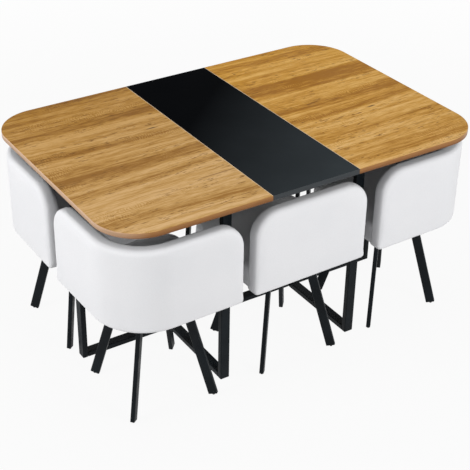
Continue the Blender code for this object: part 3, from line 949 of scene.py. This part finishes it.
def leather_material(name, colour, shade):
    """White leatherette: fine grain, painted shade in the creases of the grain, uneven gloss."""
    material, tree, shader, place = new_material(name, Specular_IOR_Level=0.2)
    grain = use_group(tree, leather_grain, place, Scale=520.0)["Height"]
    cloud = use_group(tree, patchy, place, Scale=5.0, Low=0.0, High=0.35)["Value"]
    clouded = mix_colours(tree, cloud, srgb(colour), srgb(shade))
    # Painted shade: the grain's creases darkened in colour.
    crease_painted_shade = spread(tree, grain, 0.0, 1.0, CREASE_PAINTED_SHADE_DEPTH, 0.0)
    crease_shaded = mix_colours(tree, crease_painted_shade, clouded, srgb([c * CREASE_PAINTED_SHADE for c in shade]))
    tree.links.new(crease_shaded, shader.inputs["Base Color"])
    set_gloss(tree, shader, place, scale=11.0, low=0.50, high=0.60)
    set_bump(tree, shader, grain, strength=0.10, distance=0.0004)
    return material


def seam_form(path, pad):
    """A fine welt laid on the pad along a closed path."""
    surface = BVHTree.FromBMesh(pad)
    curve = bpy.data.curves.new("seam", "CURVE")
    curve.dimensions = "3D"
    curve.bevel_depth = SEAM_RADIUS
    curve.bevel_resolution = 1
    spline = curve.splines.new("POLY")
    spline.points.add(len(path) - 1)
    for place, point in zip(spline.points, path):
        spot, normal, _, _ = surface.find_nearest(point)
        place.co = (*(spot + normal * SEAM_RADIUS * SEAM_LIFT), 1)
    spline.use_cyclic_u = True
    bm = from_mesh(baked(new_item("seam", curve)))
    bmesh.ops.remove_doubles(bm, verts=bm.verts, dist=JOIN_DISTANCE)
    return bm


def rim_path(half, wrapped, low_z, high_z):
    """The seam's line: on the inner face, a little in from the back's outline."""
    outline = back_outline(back_length(half, wrapped), low_z, high_z, SEAM_INSET)
    path = []
    for here, after in zip(outline, outline[1:] + outline[:1]):
        count = max(1, round((after - here).length / SEAM_STEP))
        steps = [here.lerp(after, step / count) for step in range(count)]
        path += [wrap(Vector((p.x, -BACK_THICKNESS / 2, p.y)), half, wrapped) for p in steps]
    return path


def place_copy(form, matrix):
    """A form made about the chair's middle, copied to a chair's own place."""
    bm = form.copy()
    bmesh.ops.transform(bm, matrix=matrix, verts=bm.verts)
    return bm


def subdivide_once(piece):
    """One level of subdivision, the same in the view and in the render."""
    surface = piece.modifiers.new("fine_surface", "SUBSURF")
    surface.levels = surface.render_levels = 1


chair_places = {name: chair_place(name) for name in frame["bodies"] if name != "table"}
chair_half = chair_places["chair_rear_right"][1]
back_low, back_high = [corner.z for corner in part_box("chair_rear_right_back")]
back_leather = leather_material("back_leatherette", LEATHER_COLOUR, LEATHER_SHADE_COLOUR)
seam_leather = leather_material("seam_leatherette", SEAM_COLOUR, SEAM_COLOUR)
backs, seams = {}, {}
for wrapped in (False, True):
    backs[wrapped] = back_form(chair_half, wrapped, back_low, back_high)
    seams[wrapped] = seam_form(rim_path(chair_half, wrapped, back_low, back_high), backs[wrapped])
for name, (matrix, _) in chair_places.items():
    wrapped = "middle" not in name
    back = finish_piece(f"{name}_back_cover", place_copy(backs[wrapped], matrix),
                        [back_leather], name, crease=180)
    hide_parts(f"{name}_back")
    subdivide_once(back)
    finish_piece(f"{name}_back_seam", place_copy(seams[wrapped], matrix),
                 [seam_leather], name, crease=180)


# Chair seats: foam on a plywood board under the same leatherette, which is drawn down
# round the board and stapled under it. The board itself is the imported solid.
SEAT_SIDE_HEIGHT = 0.034
SEAT_SIDE_STEPS = 12
SEAT_SHOULDER = 0.022
SEAT_DRAW = 0.003
SEAT_FREE_CORNER_RADIUS = 0.070
SEAT_WING_CORNER_RADIUS = 0.016
SEAT_ROLL_UNDER = 0.0025
SEAT_ROLL_MIDDLE = 0.00075
CROWN_SHARES = ((0.12, 0.30), (0.24, 0.55), (0.50, 0.84), (0.76, 0.97))
SEAT_SHRINK = 0.0020
SEAT_SWELL = 0.0050
COVER_CLEARANCE = 0.0004
HEM_WIDTH = 0.022
HEM_THICKNESS = 0.0014
STAPLE_STEP = 0.030
STAPLE_LINE = 0.55
STAPLE_SIZE = (0.0100, 0.0013, 0.0012)
STAPLE_SHOULDER = 0.45
PLYWOOD_COLOUR = (196, 164, 120)
PLYWOOD_DARK_COLOUR = (160, 124, 82)
STAPLE_COLOUR = (150, 152, 154)


def seat_outline(low, high, wrapped):
    """The seat from above: one radius to a corner, its sides drawn in between them."""
    wing, free = SEAT_WING_CORNER_RADIUS, SEAT_FREE_CORNER_RADIUS
    bend = BACK_BEND_RADIUS - BACK_THICKNESS
    radii = (bend, wing, free, wing) if wrapped else (wing, wing, free, free)
    corners = ((low.x, low.y, 1, 1, 180), (high.x, low.y, -1, 1, 270),
               (high.x, high.y, -1, -1, 0), (low.x, high.y, 1, -1, 90))
    runs = [arc_points((x + inward_x * radius, y + inward_y * radius), radius, start,
                       CORNER_STEPS // 2)
            for (x, y, inward_x, inward_y, start), radius in zip(corners, radii)]
    points = []
    for run, after in zip(runs, runs[1:] + runs[:1]):
        points += run
        start, end = run[-1], after[0]
        along = (end - start).normalized()
        inwards = Vector((-along.y, along.x))
        for step in range(1, SEAT_SIDE_STEPS):
            share = step / SEAT_SIDE_STEPS
            points.append(start.lerp(end, share) + inwards * SEAT_DRAW * math.sin(math.pi * share))
    return points


def seat_blank(low, high, wrapped, underside):
    """The seat's foam form: rolled under the board, upright sides, shoulder, crown."""
    middle = Vector(((low.x + high.x) / 2, (low.y + high.y) / 2))
    half = (high.x - low.x) / 2
    side_top = low.z + SEAT_SIDE_HEIGHT
    shoulder_top = side_top + SEAT_SHOULDER

    def ring(reach_in, height):
        def place(point, inward):
            spot = point + (middle - point) * (reach_in / half)
            return Vector((spot.x, spot.y, height))
        return place

    hem = underside - COVER_CLEARANCE - HEM_THICKNESS
    rings = [ring(SEAT_ROLL_UNDER, hem), ring(SEAT_ROLL_MIDDLE, hem + SEAT_ROLL_MIDDLE),
             ring(0, hem + SEAT_ROLL_UNDER), ring(0, side_top)]
    for step in range(1, EDGE_STEPS + 1):
        turn = math.pi / 2 * step / EDGE_STEPS
        rings.append(ring(SEAT_SHOULDER * (1 - math.cos(turn)),
                          side_top + SEAT_SHOULDER * math.sin(turn)))
    for inward_share, rise_share in CROWN_SHARES:
        rings.append(ring(SEAT_SHOULDER + (half - SEAT_SHOULDER) * inward_share,
                          shoulder_top + (high.z - shoulder_top) * rise_share))
    bm = raised_form(with_inward(seat_outline(low, high, wrapped)), rings, close_top=True)
    crown = min(bm.verts, key=lambda v: (v.co.xy - middle).length - (v.co.z > low.z) * half)
    crown.co.z = high.z
    return bm


def board_steps(board):
    """The cover's fold round the board, the board's room in it, the window in its hem."""
    low, high = corners_of(board)
    centre = Matrix.Translation((low + high) / 2)
    steps = []
    for operation, widening, rise, drop in (
            ("UNION", HEM_THICKNESS, 0, COVER_CLEARANCE + HEM_THICKNESS),
            ("DIFFERENCE", COVER_CLEARANCE, COVER_CLEARANCE, COVER_CLEARANCE),
            ("DIFFERENCE", -HEM_WIDTH, COVER_CLEARANCE, 4 * HEM_THICKNESS)):
        bm = board.copy()
        share = 1 + 2 * widening / (high.x - low.x)
        bmesh.ops.scale(bm, vec=(share, share, 1), space=centre.inverted(), verts=bm.verts)
        for vert in bm.verts:
            upper = vert.co.z > (low.z + high.z) / 2
            vert.co.z += rise if upper else -drop
        steps.append((operation, new_item("board_step", to_mesh(bm, "board_step"))))
    return steps


def seat_form(chair, wrapped):
    """The upholstered seat about the chair's middle, hollow below for its board."""
    local = chair_places[chair][0].inverted()
    board = welded_copy(f"{chair}_seat_board", local)
    packed = welded_copy(f"{chair}_cushion", local)
    low, high = corners_of(packed)
    packed.free()
    bm = remeshed(seat_blank(low, high, wrapped, corners_of(board)[0].z))
    swell(bm, low.z, SEAT_SIDE_HEIGHT, SEAT_SHRINK, SEAT_SWELL)
    smooth(bm, 2)
    pad = new_item("pad", to_mesh(bm, "pad"))
    subdivide_once(pad)
    seat = from_mesh(combined(pad, board_steps(board)))
    board.free()
    return seat


def make_staple():
    """A driven staple: the round-shouldered crown of a flat wire."""
    bm = bmesh.new()
    add_box(bm, STAPLE_SIZE)
    shoulders = [e for e in bm.edges if e.verts[0].co.y * e.verts[1].co.y < 0
                 and e.verts[0].co.z < 0 and e.verts[1].co.z < 0]
    round_edges(bm, shoulders, STAPLE_SIZE[2] * STAPLE_SHOULDER, segments=2)
    return to_mesh(bm, "staple")


def staple_row(chair, wrapped, staple):
    """Staples in the hem under the board, a step apart, along all its sides."""
    board = welded_copy(f"{chair}_seat_board", chair_places[chair][0].inverted())
    low, high = corners_of(board)
    board.free()
    middle, half = (low + high) / 2, (high.x - low.x) / 2
    level = low.z - COVER_CLEARANCE - HEM_THICKNESS
    share = 1 - HEM_WIDTH * STAPLE_LINE / half
    path = [middle.xy + (point - middle.xy) * share for point in seat_outline(low, high, wrapped)]
    rows = bmesh.new()
    due = STAPLE_STEP / 2
    for here, after in zip(path, path[1:] + path[:1]):
        length = (after - here).length
        while due < length:
            spot = here.lerp(after, due / length)
            turn = math.atan2((after - here).y, (after - here).x)
            stamp(rows, staple, Matrix.Translation((*spot, level)) @ Matrix.Rotation(turn, 4, "Z"))
            due += STAPLE_STEP
        due -= length
    return rows


def plywood_material():
    """Bare birch plywood: pale, with long brown grain."""
    material, tree, shader, place = new_material("birch_plywood", Roughness=0.7)
    grain = stretched_noise(tree, place, (7.0, 160.0, 160.0), detail=3.0)
    tone = mix_colours(tree, spread(tree, grain, *NOISE_LIMITS), srgb(PLYWOOD_COLOUR),
                       srgb(PLYWOOD_DARK_COLOUR))
    tree.links.new(tone, shader.inputs["Base Color"])
    set_bump(tree, shader, grain, strength=0.3, distance=0.0004)
    return material


seat_leather = leather_material("seat_leatherette", LEATHER_COLOUR, LEATHER_SHADE_COLOUR)
plywood = plywood_material()
staple_steel = new_material("staple_steel", Base_Color=srgb(STAPLE_COLOUR), Metallic=1.0,
                            Roughness=0.35)[0]
staple = make_staple()
seats, staples = {}, {}
for chair, wrapped in (("chair_rear_middle", False), ("chair_rear_right", True)):
    seats[wrapped] = seat_form(chair, wrapped)
    staples[wrapped] = staple_row(chair, wrapped, staple)
for name, (matrix, _) in chair_places.items():
    wrapped = "middle" not in name
    seat = finish_piece(f"{name}_seat_cover", place_copy(seats[wrapped], matrix),
                        [seat_leather], name, crease=60)
    finish_piece(f"{name}_seat_staples", place_copy(staples[wrapped], matrix), [staple_steel],
                 name)
    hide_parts(f"{name}_cushion")
    recoat(f"{name}_seat_board", plywood)


# Chair legs: flat steel tube, 32 by 15 mm, leaning outwards, welded to a plate with
# four screws into the board, coated black like the base, and shut at the foot by a
# plastic plug with a small round glide.
LEG_WIDTH = 0.032
LEG_DEPTH = 0.015
LEG_CORNER_RADIUS = 0.003
LEG_CORNER_SEGMENTS = 4
LEG_END_LIFT = 0.007
LEG_END_TOLERANCE = 0.0004
LEG_WELD_RISE = 0.004
LEG_WELD_STEPS = ((0.45, 0.0008), (0.85, 0.0012), (1.0, 0.0010))
LEG_ARRIS = 0.0003
PLATE_THICKNESS = 0.003
PLATE_RIM = 0.012
PLATE_CORNER_RADIUS = 0.006
PLATE_SCREW_INSET = 0.0065
PLUG_THICKNESS = 0.0020
PLUG_ARRIS = 0.0005
GLIDE_RADIUS = 0.0048
GLIDE_FLARE = 1.15
PLUG_COLOUR = (12, 13, 14)
PLUG_WORN_COLOUR = (24, 25, 26)


def leg_ends(node):
    """The middle of a leg's foot and of its head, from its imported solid."""
    points = [v.co for v in frame["nodes"][node].data.vertices]
    ends = []
    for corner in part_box(node):
        flat = {tuple(round(c, 5) for c in p) for p in points
                if abs(p.z - corner.z) < LEG_END_TOLERANCE}
        ends.append(sum((Vector(p) for p in flat), Vector()) / len(flat))
    return ends


def upright_box(size, radius):
    """A box about zero with its upright edges rounded."""
    bm = bmesh.new()
    add_box(bm, size)
    upright = [e for e in bm.edges if e.verts[0].co.z * e.verts[1].co.z < 0]
    round_edges(bm, upright, radius, LEG_CORNER_SEGMENTS)
    return bm


def widen(bm, face, reach):
    """Step a face of the leg out by a reach on every side, with new side faces."""
    face = bmesh.ops.extrude_discrete_faces(bm, faces=[face])["faces"][0]
    for vert in face.verts:
        vert.co.x *= 1 + 2 * reach / LEG_WIDTH
        vert.co.y *= 1 + 2 * reach / LEG_DEPTH
    return face


def leg_tube(lean, height):
    """The tube in its own axes: X its wide way, Z up it, cut level at the plate."""
    bm = upright_box((LEG_WIDTH, LEG_DEPTH, 1), LEG_CORNER_RADIUS)
    top = max(bm.faces, key=lambda f: f.calc_center_median().z)
    foot = min(bm.faces, key=lambda f: f.calc_center_median().z)

    def set_level(face, level):
        for vert in face.verts:
            vert.co.z = (level - vert.co.x * math.sin(lean)) / math.cos(lean)

    for vert in foot.verts:
        vert.co.z = LEG_END_LIFT
    plate_level = height - PLATE_THICKNESS
    set_level(top, plate_level - LEG_WELD_RISE)
    for rise_share, reach in LEG_WELD_STEPS:
        top = widen(bm, top, reach)
        set_level(top, plate_level - LEG_WELD_RISE * (1 - rise_share))
    return bm


def leg_matrix(foot, head):
    """The leg's own axes: Z from foot to head, Y level and across the lean."""
    up_leg = (head - foot).normalized()
    across = Vector((0, 0, 1)).cross(head - foot).normalized()
    wide = across.cross(up_leg)
    turn = Matrix((wide, across, up_leg)).transposed().to_4x4()
    return Matrix.Translation(foot) @ turn


black_plastic = coated_material("black_plastic", (PLUG_COLOUR, PLUG_WORN_COLOUR), grain=300.0,
                                roughness=0.5)
for name in chair_places:
    plate_screws = bmesh.new()
    for letter in "abcd":
        node = f"{name}_leg_{letter}"
        foot, head = leg_ends(node)
        matrix = leg_matrix(foot, head)
        lean = math.atan2((head - foot).xy.length, head.z - foot.z)
        bm = leg_tube(-lean, head.z)
        bmesh.ops.transform(bm, matrix=matrix, verts=bm.verts)
        plate_size = Vector((LEG_WIDTH + 2 * PLATE_RIM, LEG_DEPTH + 2 * PLATE_RIM, PLATE_THICKNESS))
        heading = math.atan2((foot - head).y, (foot - head).x)
        level = Matrix.Translation((*head.xy, head.z - PLATE_THICKNESS / 2))
        level = level @ Matrix.Rotation(heading, 4, "Z")
        stamp(bm, to_mesh(upright_box(plate_size, PLATE_CORNER_RADIUS), "plate"), level)
        tube = finish_piece(f"{node}_tube", bm, [black_coat], name)
        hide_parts(node)
        soften_arrises(tube, LEG_ARRIS)
        screw_x, screw_y = [size / 2 - PLATE_SCREW_INSET for size in plate_size.xy]
        for spot_x, spot_y in ((-screw_x, -screw_y), (-screw_x, screw_y),
                               (screw_x, -screw_y), (screw_x, screw_y)):
            spot = Matrix.Translation((spot_x, spot_y, -PLATE_THICKNESS / 2))
            stamp(plate_screws, screw_head, level @ spot @ UPSIDE_DOWN)
        plug = upright_box((LEG_WIDTH, LEG_DEPTH, PLUG_THICKNESS), LEG_CORNER_RADIUS)
        bmesh.ops.translate(plug, vec=(0, 0, LEG_END_LIFT - PLUG_THICKNESS / 2), verts=plug.verts)
        bmesh.ops.transform(plug, matrix=matrix, verts=plug.verts)
        glide = round_form(GLIDE_RADIUS, GLIDE_RADIUS * GLIDE_FLARE,
                           LEG_END_LIFT - PLUG_THICKNESS, foot.xy)
        stamp(plug, to_mesh(glide, "glide"), Matrix.Identity(4))
        piece = finish_piece(f"{node}_foot_plug", plug, [black_plastic], name)
        soften_arrises(piece, PLUG_ARRIS)
    finish_piece(f"{name}_plate_screws", plate_screws, [screw_steel], name)


# The studio: a pale floor under soft even light, with the white of the paper showing
# behind the set and in its reflections.
FLOOR_SIDE = 12.0
FLOOR_COLOUR = 0.45
FLOOR_GLOW = 0.93
FLOOR_FADE = (1.8, 4.5)
ROOM_LIGHT = 0.55
LAMPS = {"left_light": ((-4.23, 0.22, 2.03), 1.4, 86.0),
         "front_light": ((1.30, -4.03, 2.03), 1.4, 80.0),
         "top_light": ((0, 0, 5), 2.0, 36.0)}
LAMPS_LOOK_AT = Vector((0, 0, 0.5))
WHITE = (1, 1, 1, 1)


def light_panel(name, place, size, power):
    """A square soft light that looks at the middle of the set and leaves no glare."""
    data = bpy.data.lights.new(name, "AREA")
    data.shape = "SQUARE"
    data.size = size
    data.energy = power
    panel = new_item(name, data)
    panel.location = place
    panel.visible_glossy = False
    panel.rotation_euler = (LAMPS_LOOK_AT - Vector(place)).to_track_quat("-Z", "Y").to_euler()


def seen_directly(tree):
    """One where a ray comes from the camera, a reflection or clear glass."""
    path = tree.nodes.new("ShaderNodeLightPath").outputs
    seen = reckon(tree, "MAXIMUM", path["Is Camera Ray"], path["Is Glossy Ray"])
    return reckon(tree, "MAXIMUM", seen, path["Is Transmission Ray"])


def floor_material():
    """Pale paper: its white shows at full far out, and the set's shadow stays on it."""
    material, tree, shader, place = new_material("studio_paper", Roughness=0.9)
    shader.inputs["Base Color"].default_value = (FLOOR_COLOUR, FLOOR_COLOUR, FLOOR_COLOUR, 1)
    glow = add_node(tree, "ShaderNodeEmission", {"Color": WHITE, "Strength": 1.0})
    reach = reckon_vector(tree, "LENGTH", place, result="Value")
    glow_here = spread(tree, reach, *FLOOR_FADE, FLOOR_GLOW, 1.0)
    share = reckon(tree, "MULTIPLY", seen_directly(tree), glow_here)
    mixed = add_node(tree, "ShaderNodeMixShader",
                     {0: share, 1: shader.outputs[0], 2: glow.outputs[0]})
    tree.links.new(mixed.outputs[0], tree.nodes["Material Output"].inputs["Surface"])
    return material


paper = bmesh.new()
bmesh.ops.create_grid(paper, x_segments=1, y_segments=1, size=FLOOR_SIDE / 2)
floor = new_item("floor", to_mesh(paper, "floor"))
floor.data.materials.append(floor_material())

world = bpy.data.worlds.new("studio")
world.use_nodes = True
background = world.node_tree.nodes["Background"]
background.inputs["Color"].default_value = WHITE
strength = spread(world.node_tree, seen_directly(world.node_tree), 0.0, 1.0, ROOM_LIGHT, 1.0)
world.node_tree.links.new(strength, background.inputs["Strength"])
bpy.context.scene.world = world
for name, (place, size, power) in LAMPS.items():
    light_panel(name, place, size, power)
bpy.context.scene.view_settings.view_transform = "Standard"
